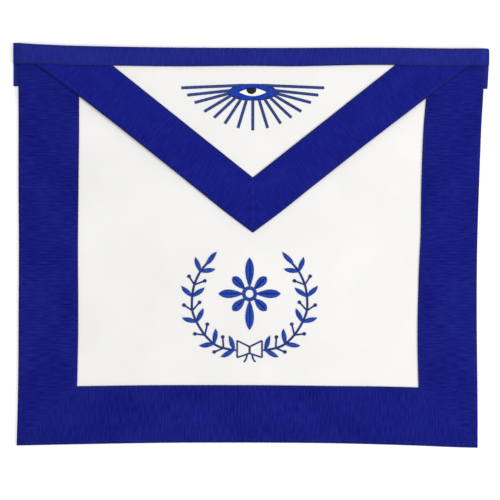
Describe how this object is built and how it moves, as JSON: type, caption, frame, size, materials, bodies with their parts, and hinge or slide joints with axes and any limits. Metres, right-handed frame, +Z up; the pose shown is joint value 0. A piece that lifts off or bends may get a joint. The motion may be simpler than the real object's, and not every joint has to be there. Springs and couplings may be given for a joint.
{
  "type": "lodge apron with ribbon borders",
  "caption": "Flat apron: white panel with blue ribbon borders, a triangular flap with an embroidered eye and rays, a wreath on the body, and a folded waist band along the top.",
  "frame": {"origin": "under the middle of the apron's outline, on the surface that it lies on", "axes": "+X to the right of the embroidered face, +Y towards the waist band, +Z up out of the embroidered face"},
  "size_m": [0.4186, 0.3562, 0.0081],
  "materials": {
    "blue_grosgrain": "ribbed ribbon, low sheen",
    "white_leatherette": "smooth, soft sheen",
    "blue_stitching": "satin stitch, silky sheen",
    "white_stitching": "satin stitch, silky sheen",
    "black_stitching": "satin stitch, silky sheen"
  },
  "bodies": {
    "root": {"body_panel": "white_leatherette", "side_border_left": "blue_grosgrain", "side_border_right": "blue_grosgrain", "bottom_border": "blue_grosgrain", "waist_band": "blue_grosgrain", "wreath_sprig_left": "blue_stitching", "wreath_sprig_right": "blue_stitching", "wreath_bow": "blue_stitching", "rosette": "blue_stitching", "flap_panel": "white_leatherette", "flap_border_left": "blue_grosgrain", "flap_border_right": "blue_grosgrain", "eye_with_rays": "blue_stitching", "eye_white": "white_stitching", "eye_pupil": "black_stitching"}
  },
  "joints": []
}
